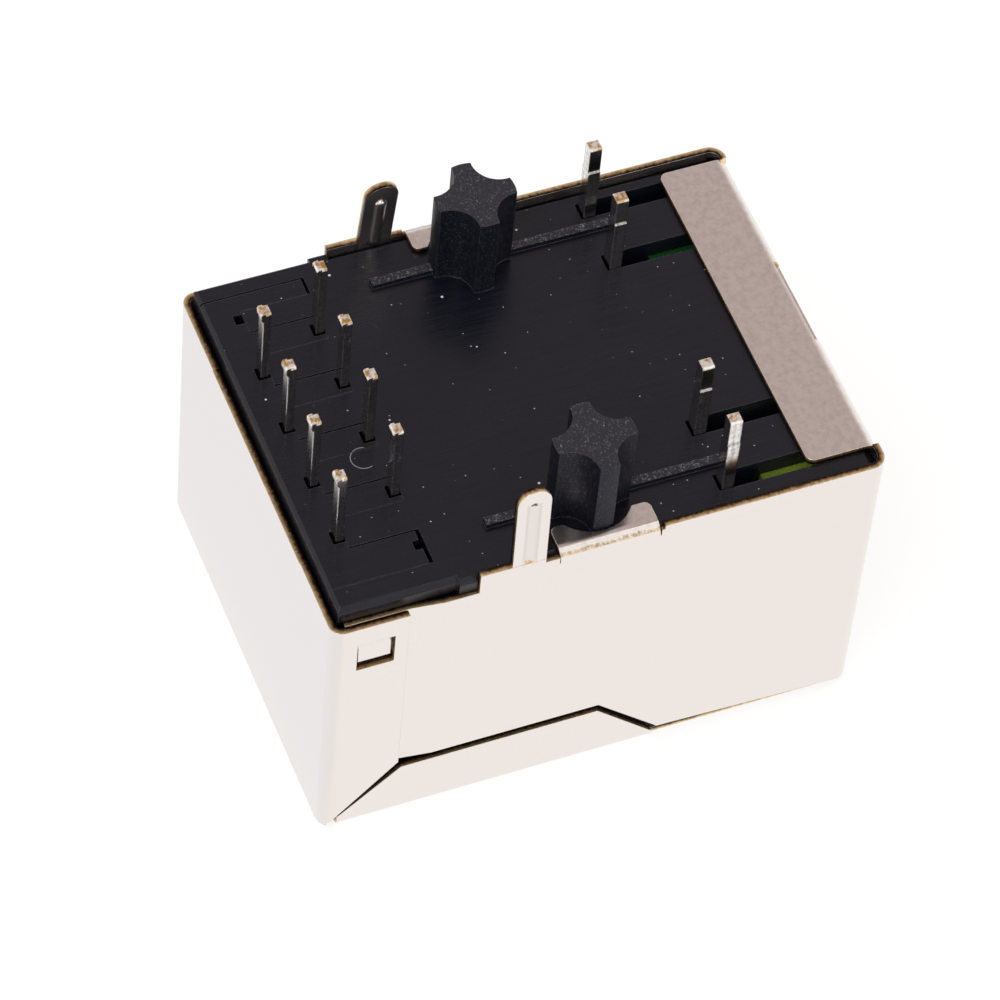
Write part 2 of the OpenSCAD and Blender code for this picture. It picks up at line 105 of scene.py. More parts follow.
def add(tree, kind, *values, out=0, **settings):
    # one node with its settings and links: values in the order of its sockets, or one dictionary by socket
    node = tree.nodes.new("ShaderNode" + kind)
    for key, value in settings.items():
        setattr(node, key, value)
    named = values[0] if values and isinstance(values[0], dict) else dict(enumerate(values))
    for key, value in named.items():
        if isinstance(value, bpy.types.NodeSocket):
            tree.links.new(value, node.inputs[key])
        else:
            node.inputs[key].default_value = value
    return node.outputs[out] if node.outputs else node


def startMaterial(name):
    material = bpy.data.materials.new(name)
    material.use_nodes = True
    tree = material.node_tree
    tree.nodes.clear()
    shader = add(tree, "BsdfPrincipled").node
    add(tree, "OutputMaterial", {"Surface": shader.outputs[0]})
    place = add(tree, "VectorMath", {0: add(tree, "TexCoord", out="Object"), "Scale": 1 / mm}, operation="SCALE")
    return material, tree, shader, place


def facingUp(tree):
    # 1 on a level upper face, 0 on an upright one
    normal = add(tree, "NewGeometry", out="True Normal")
    own = add(tree, "VectorTransform", normal, vector_type="NORMAL", convert_from="WORLD", convert_to="OBJECT")
    return add(tree, "SeparateXYZ", own, out=2)


def rounded(tree, radius):
    # 0 on flats, rising to 1 on edges that turn within radius
    edge = add(tree, "Bevel", {"Radius": radius * mm}, samples=4)
    same = add(tree, "VectorMath", edge, add(tree, "NewGeometry", out="Normal"), operation="DOT_PRODUCT", out="Value")
    return add(tree, "Math", 1.0, same, operation="SUBTRACT", use_clamp=True)


def finish(tree, shader, colour, roughness, height, relief, lean=None):
    # relief: strength and depth of the pattern pressed in, and the radius that sharp edges are rounded by, in mm
    strength, deep, radius = relief
    edge = add(tree, "Bevel", {"Radius": radius * mm}, samples=4)
    if lean is not None:
        edge = add(tree, "VectorMath", add(tree, "VectorMath", edge, lean), operation="NORMALIZE")
    bump = add(tree, "Bump", {"Height": height, "Strength": strength, "Distance": deep * mm, "Normal": edge})
    tree.links.new(colour, shader.inputs["Base Color"])
    tree.links.new(roughness, shader.inputs["Roughness"])
    tree.links.new(bump, shader.inputs["Normal"])


sheetLook = {
    "face": "#F1E9E2", "faceGrey": "#EFE7E0", "worn": "#D6CBC4", "roughness": 0.21, "cutRoughness": 0.42,
    "grain": 9.0,                        # per mm: the satin of the plating, 0.11 mm so that it shows
    "cutGrain": 6.0,                     # per mm: torn and sheared patches along a cut
    "handled": 3.4,                      # per mm: fine wear on upper faces
    # across a cut, from the rolled-over outer lip to the torn inner lip; the darkening towards the inner lip is partly
    # torn metal and partly painted shade
    "cut": ((0.0, "#FBE6BC"), (0.2, "#DFC494"), (0.42, "#B59A72"),
            (0.58, "#826848"), (0.74, "#402E1E"), (1.0, "#1A120E")),
    "wrap": 0.02,                        # mm: plating drawn over the lip of a cut
    # plating split along the flaps' folds, all in mm
    "split": "#A99478", "splitPale": "#EADCC6", "ragged": 0.12,
    "splitY": (-1.75, 2.0), "splitZ": (12.96, 13.05), "splitX": 7.5,
    # painted shade in the groove pressed down the near tab: its face, middle, half width, lower and upper end in mm
    "channel": (-7.6, 3.2, 0.24, 13.0, 16.42), "channelTone": "#DED7D0", "channelEnd": "#57463A",
    "relief": (0.5, 0.012, 0.035),
}


def plateSheet(look):
    # nickel plated brass strip, rolled, then stamped: a warm white satin face, bare brass where it was cut
    material, tree, shader, place = startMaterial("nickelPlatedBrass")
    x, y, z = add(tree, "SeparateXYZ", place).node.outputs
    side = add(tree, "Math", x, operation="ABSOLUTE")
    grain = add(tree, "TexNoise", {"Vector": place, "Scale": look["grain"], "Detail": 4.0, "Roughness": 0.6})
    torn = add(tree, "TexNoise", {"Vector": place, "Scale": look["cutGrain"], "Detail": 3.0, "Roughness": 0.7})
    offMiddle = add(tree, "Math", torn, 0.5, operation="SUBTRACT")
    satin = add(tree, "MapRange", grain, 0.35, 0.65, 0.0, 1.0)
    face = add(tree, "Mix", {0: satin, 6: linear(look["faceGrey"]), 7: linear(look["face"])}, out=2, data_type="RGBA")

    # upper faces are handled, so they carry fine wear
    handled = add(tree, "TexNoise", {"Vector": place, "Scale": look["handled"], "Detail": 4.0, "Roughness": 0.75})
    level = add(tree, "MapRange", facingUp(tree), 0.7, 0.9, 0.0, 1.0)
    patches = add(tree, "MapRange", handled, 0.42, 0.66, 0.0, 0.6)
    wear = add(tree, "Math", level, patches, operation="MULTIPLY")
    colour = add(tree, "Mix", {0: wear, 6: face, 7: linear(look["worn"])}, out=2, data_type="RGBA")

    # the plating splits where a flap was folded over, so a ragged line of brass shows there
    lowZ, highZ = look["splitZ"]
    frontY, backY = look["splitY"]
    zRagged = add(tree, "Math", z, add(tree, "Math", offMiddle, look["ragged"], operation="MULTIPLY"), operation="ADD")
    overLow = add(tree, "MapRange", zRagged, lowZ - 0.03, lowZ, 0.0, 1.0)
    underHigh = add(tree, "MapRange", zRagged, highZ, highZ + 0.03, 1.0, 0.0)
    inZ = add(tree, "Math", overLow, underHigh, operation="MULTIPLY")
    behind = add(tree, "Math", y, frontY, operation="GREATER_THAN")
    ahead = add(tree, "Math", y, backY, operation="LESS_THAN")
    inY = add(tree, "Math", behind, ahead, operation="MULTIPLY")
    outX = add(tree, "Math", side, look["splitX"], operation="GREATER_THAN")
    inBoth = add(tree, "Math", inZ, inY, operation="MULTIPLY")
    crack = add(tree, "Math", inBoth, outX, operation="MULTIPLY")
    spotty = add(tree, "MapRange", torn, 0.38, 0.62, 0.0, 1.0)
    opened = add(tree, "Mix", {0: spotty, 6: linear(look["split"]), 7: linear(look["splitPale"])},
                 out=2, data_type="RGBA")
    colour = add(tree, "Mix", {0: crack, 6: colour, 7: opened}, out=2, data_type="RGBA")

    # painted shade in the near tab's groove: faint over the channel, darkest along its sides, with a dark end
    faceX, midY, half, low, high = look["channel"]
    offY = add(tree, "Math", add(tree, "Math", y, midY, operation="SUBTRACT"), operation="ABSOLUTE")
    onSide = add(tree, "Math", x, faceX, operation="LESS_THAN")
    inside = add(tree, "MapRange", offY, half, half + 0.06, 1.0, 0.0)
    wall = add(tree, "MapRange", offY, half - 0.12, half, 0.35, 1.0)
    rim = add(tree, "Math", inside, wall, operation="MULTIPLY")
    fromLow = add(tree, "MapRange", z, low, low + 0.4, 0.0, 1.0)
    toHigh = add(tree, "MapRange", z, high, high + 0.08, 1.0, 0.0)
    along = add(tree, "Math", fromLow, toHigh, operation="MULTIPLY")
    rimAlong = add(tree, "Math", rim, along, operation="MULTIPLY")
    channel = add(tree, "Math", rimAlong, onSide, operation="MULTIPLY")
    colour = add(tree, "Mix", {0: channel, 6: colour, 7: linear(look["channelTone"])}, out=2, data_type="RGBA")
    # the dark end is painted shade in the dimple where the groove stops
    offEnd = add(tree, "Math", z, high, operation="SUBTRACT")
    squareY = add(tree, "Math", offY, 2.0, operation="POWER")
    squareZ = add(tree, "Math", offEnd, 2.0, operation="POWER")
    fromEnd = add(tree, "Math", add(tree, "Math", squareY, squareZ, operation="ADD"), operation="SQRT")
    fade = add(tree, "MapRange", fromEnd, 0.06, 0.13, 0.9, 0.0)
    spot = add(tree, "Math", fade, onSide, operation="MULTIPLY")
    colour = add(tree, "Mix", {0: spot, 6: colour, 7: linear(look["channelEnd"])}, out=2, data_type="RGBA")

    # a cut is brass at the outer lip and dark at the inner, the dark partly torn metal and partly painted shade; the
    # plating wraps a little round each edge
    cut = add(tree, "Attribute", attribute_name="cutEdge", out="Fac")
    depth = add(tree, "Attribute", attribute_name="cutDepth", out="Fac")
    uneven = add(tree, "Math", offMiddle, 0.9, operation="MULTIPLY")
    cutToneAndShade = add(tree, "ValToRGB", add(tree, "Math", depth, uneven, operation="ADD"))
    stops = cutToneAndShade.node.color_ramp.elements
    for i, (where, tone) in enumerate(look["cut"]):
        stop = stops[i] if i < 2 else stops.new(where)
        stop.position, stop.color = where, linear(tone)
    wrapped = add(tree, "MapRange", rounded(tree, look["wrap"]), 0.15, 0.4, 1.0, 0.6)
    shows = add(tree, "Math", cut, wrapped, operation="MULTIPLY")
    colour = add(tree, "Mix", {0: shows, 6: colour, 7: cutToneAndShade}, out=2, data_type="RGBA")

    shader.inputs["Metallic"].default_value = 1.0
    bare = add(tree, "Math", cut, crack, operation="MAXIMUM")
    gloss = add(tree, "MapRange", grain, 0.3, 0.7, look["roughness"] - 0.02, look["roughness"] + 0.03)
    rough = add(tree, "Mix", {0: bare, 2: gloss, 3: look["cutRoughness"]})
    height = add(tree, "Mix", {0: bare, 2: add(tree, "Math", grain, 0.12, operation="MULTIPLY"), 3: torn})

    # just above the split the fold is rounder than the sheet beside it, so it catches the bright low surroundings
    aboveSplit = add(tree, "MapRange", z, highZ - 0.01, highZ + 0.03, 0.0, 1.0)
    outer = add(tree, "MapRange", side, look["splitX"] - 0.02, look["splitX"] + 0.05, 0.0, 1.0)
    onFlap = add(tree, "Math", aboveSplit, inY, operation="MULTIPLY")
    onFold = add(tree, "Math", onFlap, outer, operation="MULTIPLY")
    outward = add(tree, "Math", onFold, add(tree, "Math", x, operation="SIGN"), operation="MULTIPLY")
    lean = add(tree, "CombineXYZ", add(tree, "Math", outward, 1.5, operation="MULTIPLY"))
    finish(tree, shader, colour, rough, height, look["relief"], lean)
    return material


mouldLook = {
    # the pale tone serves rubbed specks and also painted highlight on rib tops and edge rims; the torn tone on upward
    # faces is partly painted light
    "base": "#0A0C15", "streak": "#13141D", "rubAndGlint": "#8A888F", "torn": "#2A282E",
    "roughness": 0.27, "roughnessTop": 0.5, "roughnessSide": 0.42,
    "ior": 1.42, "iorSide": 1.27,               # the torn skin of the posts' sides mirrors less
    "streakWidth": 9.0, "streakLength": 0.4,    # per mm: polishing lines of the mould along Y
    "clouds": (0.3, 1.3),                       # per mm: broad and narrow patches
    "speckle": 14.0,                            # per mm: torn skin on post ends, and painted highlight specks along the ribs
    "edge": 0.05,                               # mm: edges rubbed paler, with painted highlight on their rims
    # cells per mm, largest speck in mm, share left bare, colour
    "dustLayers": ((0.45, 0.055, 0.6, "#C9CBD0"), (1.5, 0.034, 0.72, "#9A9CA2")),
    # a curl of lint lying on the plate: x, y, radius and half thickness in mm
    "lint": (-1.5, 6.97, 0.46, 0.004), "lintTone": "#94969B",
    "relief": (0.3, 0.012, 0.05),
}


def mouldBlack(look):
    # glass-filled PBT, moulded in a polished steel tool: black, half gloss, faint lines along Y
    material, tree, shader, place = startMaterial("blackGlassFilledPbt")
    x, y, z = add(tree, "SeparateXYZ", place).node.outputs
    isUp = add(tree, "MapRange", facingUp(tree), 0.7, 0.8, 0.0, 1.0)
    drawn = add(tree, "Mapping", {"Vector": place, "Scale": (look["streakWidth"], look["streakLength"], 3.0)})
    lines = add(tree, "TexNoise", {"Vector": drawn, "Scale": 1.0, "Detail": 5.0, "Roughness": 0.7})
    fine = add(tree, "TexNoise", {"Vector": place, "Scale": look["speckle"], "Detail": 3.0, "Roughness": 0.7})
    broad, narrow = (add(tree, "TexNoise", {"Vector": place, "Scale": perMm, "Detail": 2.0, "Roughness": 0.55})
                     for perMm in look["clouds"])
    cloud = add(tree, "Math", broad, add(tree, "Math", narrow, 0.6, operation="MULTIPLY"), operation="ADD")
    blotched = add(tree, "Math", lines, add(tree, "Math", cloud, 0.6, operation="MULTIPLY"), operation="ADD")
    tone = add(tree, "MapRange", blotched, 0.62, 1.34, 0.0, 1.0)
    colour = add(tree, "Mix", {0: tone, 6: linear(look["base"]), 7: linear(look["streak"])}, out=2, data_type="RGBA")

    # everything that stands above the plate has a torn, paler skin on top, and the posts the most; the paler top is
    # partly painted light on the lit tops, and the ribs' pale speckle is a painted highlight
    above = add(tree, "MapRange", z, plateTop + 0.05, plateTop + 0.1, 0.0, 1.0)
    post = add(tree, "MapRange", z, plateTop + 1.0, plateTop + 1.1, 0.0, 1.0)
    top = add(tree, "Math", above, isUp, operation="MULTIPLY")
    side = add(tree, "Math", above, add(tree, "Math", 1.0, isUp, operation="SUBTRACT"), operation="MULTIPLY")
    torn = add(tree, "Math", top, add(tree, "MapRange", post, 0.0, 1.0, 0.25, 0.6), operation="MULTIPLY")
    ribGlint = add(tree, "MapRange", fine, 0.54, 0.68, 0.0, 0.8)
    onPost = add(tree, "MapRange", fine, 0.58, 0.72, 0.0, 0.6)
    onSide = add(tree, "MapRange", fine, 0.56, 0.76, 0.0, 0.3)
    topBits = add(tree, "Math", top, add(tree, "Mix", {0: post, 2: ribGlint, 3: onPost}), operation="MULTIPLY")
    sideBits = add(tree, "Math", side, onSide, operation="MULTIPLY")
    # edges are rubbed a little paler than the faces, with painted highlight on their rims
    rubAndGlint = add(tree, "MapRange", rounded(tree, look["edge"]), 0.06, 0.3, 0.0, 0.3)
    worn = add(tree, "Math", rubAndGlint, add(tree, "MapRange", fine, 0.4, 0.6, 0.2, 1.0), operation="MULTIPLY")
    for amount, over in ((torn, "torn"), (topBits, "rubAndGlint"), (sideBits, "rubAndGlint"), (worn, "rubAndGlint")):
        colour = add(tree, "Mix", {0: amount, 6: colour, 7: linear(look[over])}, out=2, data_type="RGBA")

    # dust that has settled on the upper faces, in two sizes
    for cells, largest, bare, tint in look["dustLayers"]:
        cell = add(tree, "TexVoronoi", {"Vector": place, "Scale": cells, "Randomness": 1.0},
                   voronoi_dimensions="2D").node
        chance = add(tree, "SeparateXYZ", cell.outputs["Color"])
        size = add(tree, "MapRange", chance, bare, 1.0, 0.0, largest * cells)
        rim = add(tree, "Math", size, cell.outputs["Distance"], operation="SUBTRACT")
        speck = add(tree, "MapRange", rim, 0.0, 0.012 * cells, 0.0, 1.0)
        settled = add(tree, "Math", speck, isUp, operation="MULTIPLY")
        colour = add(tree, "Mix", {0: settled, 6: colour, 7: linear(tint)}, out=2, data_type="RGBA")
    midX, midY, radius, thick = look["lint"]
    offX = add(tree, "Math", x, midX, operation="SUBTRACT")
    offY = add(tree, "Math", y, midY, operation="SUBTRACT")
    squareX = add(tree, "Math", offX, 2.0, operation="POWER")
    squareY = add(tree, "Math", offY, 2.0, operation="POWER")
    away = add(tree, "Math", add(tree, "Math", squareX, squareY, operation="ADD"), operation="SQRT")
    offRing = add(tree, "Math", add(tree, "Math", away, radius, operation="SUBTRACT"), operation="ABSOLUTE")
    near = add(tree, "MapRange", offRing, thick, thick + 0.016, 1.0, 0.0)
    bow = add(tree, "MapRange", offY, -0.2, -0.14, 0.0, 1.0)
    curl = add(tree, "Math", add(tree, "Math", near, bow, operation="MULTIPLY"), isUp, operation="MULTIPLY")
    colour = add(tree, "Mix", {0: curl, 6: colour, 7: linear(look["lintTone"])}, out=2, data_type="RGBA")

    tree.links.new(add(tree, "MapRange", side, 0.0, 1.0, look["ior"], look["iorSide"]), shader.inputs["IOR"])
    gloss = add(tree, "MapRange", lines, 0.3, 0.7, look["roughness"] - 0.07, look["roughness"] + 0.09)
    gloss = add(tree, "Mix", {0: side, 2: gloss, 3: look["roughnessSide"]})
    rough = add(tree, "Mix", {0: top, 2: gloss, 3: look["roughnessTop"]})
    coarse = add(tree, "Math", top, add(tree, "Math", side, 0.4, operation="MULTIPLY"), operation="MAXIMUM")
    grit = add(tree, "Math", fine, add(tree, "MapRange", coarse, 0.0, 1.0, 0.15, 2.0), operation="MULTIPLY")
    finish(tree, shader, colour, rough, add(tree, "Math", lines, grit, operation="ADD"), look["relief"])
    return material


wireLook = {
    # the end's pale tone is a painted highlight on the copper
    "tin": "#F2F0EC", "tinDark": "#B4B0A9", "end": "#C79A52", "endGlint": "#FFFBF2",
    "roughness": 0.13, "roughnessEnd": 0.45,
    "drawn": (9.0, 9.0, 0.5),            # per mm: drawing lines up the wire
    "spots": 7.0, "endGlintPatches": 3.2,          # per mm: dull patches of the tin, and patches of painted highlight on the copper of the cut end
    "relief": (0.08, 0.05, 0.07),
}


def tinnedWire(look, name, tip):
    # tin plated copper wire, drawn and cut: bright, lined along its length, copper showing at the cut end with patches
    # of painted highlight on it
    material, tree, shader, place = startMaterial(name)
    z = add(tree, "SeparateXYZ", place, out=2)
    drawn = add(tree, "Mapping", {"Vector": place, "Scale": look["drawn"]})
    lines = add(tree, "TexNoise", {"Vector": drawn, "Scale": 1.0, "Detail": 4.0, "Roughness": 0.6})
    spots = add(tree, "TexNoise", {"Vector": place, "Scale": look["spots"], "Detail": 3.0, "Roughness": 0.7})
    endGlintPatches = add(tree, "TexNoise", {"Vector": place, "Scale": look["endGlintPatches"], "Detail": 3.0, "Roughness": 0.7})
    halfLines = add(tree, "Math", lines, 0.5, operation="MULTIPLY")
    halfSpots = add(tree, "Math", spots, 0.5, operation="MULTIPLY")
    patch = add(tree, "Math", halfLines, halfSpots, operation="ADD")
    bright = add(tree, "MapRange", patch, 0.38, 0.6, 0.0, 1.0)
    # the cut end is copper with patches of near white painted highlight
    pale = add(tree, "MapRange", endGlintPatches, 0.42, 0.56, 0.0, 1.0)
    tin = add(tree, "Mix", {0: bright, 6: linear(look["tinDark"]), 7: linear(look["tin"])}, out=2, data_type="RGBA")
    end = add(tree, "Mix", {0: pale, 6: linear(look["end"]), 7: linear(look["endGlint"])}, out=2, data_type="RGBA")
    level = add(tree, "MapRange", facingUp(tree), 0.3, 0.5, 0.0, 1.0)
    atTip = add(tree, "MapRange", z, tip - 0.25, tip - 0.15, 0.0, 1.0)
    isEnd = add(tree, "Math", level, atTip, operation="MULTIPLY")
    colour = add(tree, "Mix", {0: isEnd, 6: tin, 7: end}, out=2, data_type="RGBA")
    shader.inputs["Metallic"].default_value = 1.0
    gloss = add(tree, "MapRange", patch, 0.3, 0.7, look["roughness"] + 0.06, look["roughness"] - 0.03)
    rough = add(tree, "Mix", {0: isEnd, 2: gloss, 3: look["roughnessEnd"]})
    finish(tree, shader, colour, rough, patch, look["relief"])
    return material


goldLook = {
    "gold": "#E3B45C", "goldPale": "#F2D08A", "roughness": 0.2,
    "drawn": (16.0, 1.2, 6.0),           # per mm: drawing lines along the spring
    "relief": (0.2, 0.006, 0.04),
}


def goldWire(look):
    # gold over nickel on phosphor bronze wire: warm and bright, drawn lines along the spring
    material, tree, shader, place = startMaterial("goldPlatedBronze")
    drawn = add(tree, "Mapping", {"Vector": place, "Scale": look["drawn"]})
    lines = add(tree, "TexNoise", {"Vector": drawn, "Scale": 1.0, "Detail": 3.0, "Roughness": 0.55})
    pale = add(tree, "MapRange", lines, 0.35, 0.65, 0.0, 1.0)
    colour = add(tree, "Mix", {0: pale, 6: linear(look["gold"]), 7: linear(look["goldPale"])}, out=2, data_type="RGBA")
    shader.inputs["Metallic"].default_value = 1.0
    rough = add(tree, "MapRange", lines, 0.3, 0.7, look["roughness"] + 0.08, look["roughness"] - 0.03)
    finish(tree, shader, colour, rough, lines, look["relief"])
    return material


boardLook = {
    "mask": "#1F5C34", "maskDark": "#174427", "roughness": 0.32,
    "weave": 0.6875,                     # per mm: bands of the glass cloth, about 0.45 mm a thread
    "relief": (0.2, 0.01, 0.03),
}


def solderMask(look):
    # glass-epoxy board under green solder mask: smooth, and the glass cloth shows through faintly
    material, tree, shader, place = startMaterial("solderMaskedLaminate")
    warp, weft = (add(tree, "TexWave", {"Vector": place, "Scale": look["weave"]}, bands_direction=way, out="Fac")
                  for way in "XY")
    cloth = add(tree, "Math", warp, weft, operation="MULTIPLY")
    colour = add(tree, "Mix", {0: cloth, 6: linear(look["maskDark"]), 7: linear(look["mask"])},
                 out=2, data_type="RGBA")
    rough = add(tree, "MapRange", cloth, 0.0, 1.0, look["roughness"], look["roughness"] + 0.1)
    finish(tree, shader, colour, rough, cloth, look["relief"])
    return material


# tinted epoxy cast round the chip: clear depth, a slightly drawn skin
epoxyLook = {
    "greenEpoxy": ("#22602E", "#0D2E16"), "yellowEpoxy": ("#93AC3C", "#465C1E"),      # body, depth
    "depth": 0.5, "skin": 5.0,           # per mm: shade in the depth, waves of the skin
    "clear": 0.35, "ior": 1.54, "roughness": (0.18, 0.34), "relief": (0.2, 0.01, 0.08),
}


def castEpoxy(look, name):
    material, tree, shader, place = startMaterial(name)
    body, deep = look[name]
    depth = add(tree, "TexNoise", {"Vector": place, "Scale": look["depth"], "Detail": 1.0, "Roughness": 0.55})
    skin = add(tree, "TexNoise", {"Vector": place, "Scale": look["skin"], "Detail": 2.0, "Roughness": 0.55})
    shade = add(tree, "MapRange", depth, 0.3, 0.7, 0.45, 0.95)
    colour = add(tree, "Mix", {0: shade, 6: linear(deep), 7: linear(body)}, out=2, data_type="RGBA")
    shader.inputs["Transmission Weight"].default_value = look["clear"]
    shader.inputs["IOR"].default_value = look["ior"]
    rough = add(tree, "MapRange", skin, 0.3, 0.7, *look["roughness"])
    finish(tree, shader, colour, rough, skin, look["relief"])
    return material


sinterLook = {
    # manganese-zinc ferrite under a thin lacquer: dark brown grey, fine grit
    "sinteredFerrite": {
        "body": "#2B2624", "glint": "#5E4636", "grit": 12.0, "detail": 4.0, "coarse": 0.7,
        "shows": (0.4, 0.7, 0.0, 1.0), "roughness": (0.4, 0.6), "relief": (0.3, 0.01, 0.06),
    },
    # barium titanate body with silvered ends: tan, matt, slightly grainy
    "sinteredCeramic": {
        "body": "#B79B72", "glint": "#C9C6C0", "grit": 9.0, "detail": 3.0, "coarse": 0.6,
        "shows": (0.4, 0.6, 0.0, 0.35), "roughness": (0.45, 0.6), "relief": (0.25, 0.01, 0.05),
    },
}


def sintered(look, name):
    # pressed powder, fired: an even body with fine grit in it, grains per mm
    material, tree, shader, place = startMaterial(name)
    own = look[name]
    grit = add(tree, "TexNoise", {"Vector": place, "Scale": own["grit"], "Detail": own["detail"],
                                  "Roughness": own["coarse"]})
    glint = add(tree, "MapRange", grit, *own["shows"])
    colour = add(tree, "Mix", {0: glint, 6: linear(own["body"]), 7: linear(own["glint"])}, out=2, data_type="RGBA")
    rough = add(tree, "MapRange", grit, 0.3, 0.7, *own["roughness"])
    finish(tree, shader, colour, rough, grit, own["relief"])
    return material


sheetMetal = plateSheet(sheetLook)
blackPlastic = mouldBlack(mouldLook)
pinWire = tinnedWire(wireLook, "tinnedPinWire", pinTip)
leadWire = tinnedWire(wireLook, "tinnedLeadWire", leadTip)
springWire = goldWire(goldLook)
laminate = solderMask(boardLook)
greenCast = castEpoxy(epoxyLook, "greenEpoxy")
yellowCast = castEpoxy(epoxyLook, "yellowEpoxy")
ferrite = sintered(sinterLook, "sinteredFerrite")
ceramic = sintered(sinterLook, "sinteredCeramic")
print("materials made:", len(bpy.data.materials))


dressed = {
    # name, slot, material, smallest step that is merged away in mm, sharpest bend that is shaded round in degrees
    "shield_shell": ("foldedShell", "plated_sheet", sheetMetal, 0.008, 34),
    "housing": ("mouldedHousing", "black_plastic", blackPlastic, 0.002, 34),
    "pin_block": ("mouldedPinBlock", "black_plastic", blackPlastic, 0.002, 34),
    "contact_carrier": ("mouldedCarrier", "black_plastic", blackPlastic, 0.002, 34),
}
kept = {
    "circuit_board": laminate, "signal_pin": pinWire, "contact_": springWire, "led_green": greenCast,
    "led_yellow": yellowCast, "led_lead": leadWire, "transformer": ferrite, "choke": ferrite,
    "capacitor": ceramic, "resistor": ceramic,
}


def copySolid(node, name, slotName, material, smallest, angle):
    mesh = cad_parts[node].data.copy()
    mesh.name = name
    work = bmesh.new()
    work.from_mesh(mesh)
    bmesh.ops.remove_doubles(work, verts=work.verts, dist=smallest * mm)
    bmesh.ops.dissolve_degenerate(work, edges=work.edges, dist=0.0002 * mm)
    work.to_mesh(mesh)
    work.free()
    mesh.materials.clear()
    mesh.materials.append(material)
    mesh.shade_smooth()
    shadeByRegions(mesh, angle)
    piece = bpy.data.objects.new(name, mesh)
    bpy.context.scene.collection.objects.link(piece)
    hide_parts(node)
    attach(piece, "root")
    return piece


def flatRegions(mesh):
    # neighbouring faces that lie in one plane share a region: the region of each face, and each region's area
    faces = mesh.polygons
    normals = [face.normal.copy() for face in faces]
    atEdge = {}
    for face in faces:
        for key in face.edge_keys:
            atEdge.setdefault(key, []).append(face.index)
    region, areas = [-1] * len(faces), []
    for first in range(len(faces)):
        if region[first] >= 0:
            continue
        region[first], stack, area = len(areas), [first], 0.0
        while stack:
            here = stack.pop()
            area += faces[here].area
            for key in faces[here].edge_keys:
                for other in atEdge[key]:
                    if region[other] < 0 and normals[other].dot(normals[here]) > 0.99995:
                        region[other] = region[first]
                        stack.append(other)
        areas.append(area)
    return region, areas


def shadeByRegions(mesh, angle):
    # each flat keeps its own direction, and only the narrow strips of a bend are shaded round
    faces = mesh.polygons
    atVertex = [[] for v in mesh.vertices]
    for face in faces:
        for v in face.vertices:
            atVertex[v].append(face.index)
    normals = [face.normal.copy() for face in faces]
    region, areas = flatRegions(mesh)
    limit = math.cos(math.radians(angle))
    corners = []
    for face in faces:
        own = normals[face.index]
        for v in face.vertices:
            met = {region[g]: normals[g] for g in atVertex[v] if normals[g].dot(own) > limit}
            total = own * 1e-12
            for r, direction in met.items():
                total += direction * areas[r]
            corners.append(total.normalized())
    mesh.normals_split_custom_set(corners)


cuts = {
    "thickest": 0.33,                    # mm: what still counts as sheet
    "start": 0.004, "reach": 5.0,        # mm: the ray into the metal
    "share": 0.4,                        # of a flat's area, to call all of it a cut
    # the ends of the groove pressed into each tab are bends, not cuts: from x, y, half width, z
    "pressed": (7.3, 3.2, 0.35, (12.8, 16.55)),
}


def markCuts(piece, look):
    # a face with more than one thickness of metal behind it is a cut edge
    mesh = piece.data
    faces = mesh.polygons
    solid = BVHTree.FromPolygons([v.co.copy() for v in mesh.vertices], [list(p.vertices) for p in faces])
    cut = mesh.attributes.new("cutEdge", "FLOAT", "FACE")
    fromX, midY, half, (low, high) = look["pressed"]
    for p in faces:
        inward = -p.normal
        hit = solid.ray_cast(p.center + inward * look["start"] * mm, inward, look["reach"] * mm)
        through = hit[0] is None or hit[3] > look["thickest"] * mm
        x, y, z = p.center / mm
        pressed = abs(x) > fromX and abs(y - midY) < half and low < z < high
        cut.data[p.index].value = 1.0 if through and not pressed else 0.0
    # a flat is a cut or it isn't, as the larger part of its area says
    region, areas = flatRegions(mesh)
    found = [0.0] * len(areas)
    for p in faces:
        found[region[p.index]] += cut.data[p.index].value * p.area
    for p in faces:
        flat = region[p.index]
        cut.data[p.index].value = 1.0 if found[flat] > look["share"] * areas[flat] else 0.0
    # how far through the sheet each corner of a cut lies: 0 at the outer skin, 1 at the inner
    middle = (cadLow + cadHigh) / 2
    votes = [[0.0, 0.0] for v in mesh.vertices]
    for p in faces:
        if cut.data[p.index].value < 0.5:
            inner = 0 if p.normal.dot(p.center - middle) > 0 else 1
            for v in p.vertices:
                votes[v][inner] += p.area
    depth = mesh.attributes.new("cutDepth", "FLOAT", "POINT")
    for v, (outside, inside) in enumerate(votes):
        depth.data[v].value = inside / (outside + inside) if outside + inside > 0 else 0.5


tabBeads = {
    "side": 7.82, "y": 3.2, "root": 12.7, "sheet": 0.25,       # mm: outer face of the wall, middle of the tab
    "tabs": ((1, 8.0, 3.5), (-1, 1.5, 3.9)),                   # side, lean in degrees, height
    "halfWidth": 0.23, "height": 0.12, "from": 0.2, "endGap": 0.3,
    "rows": 24, "turns": 12,
}


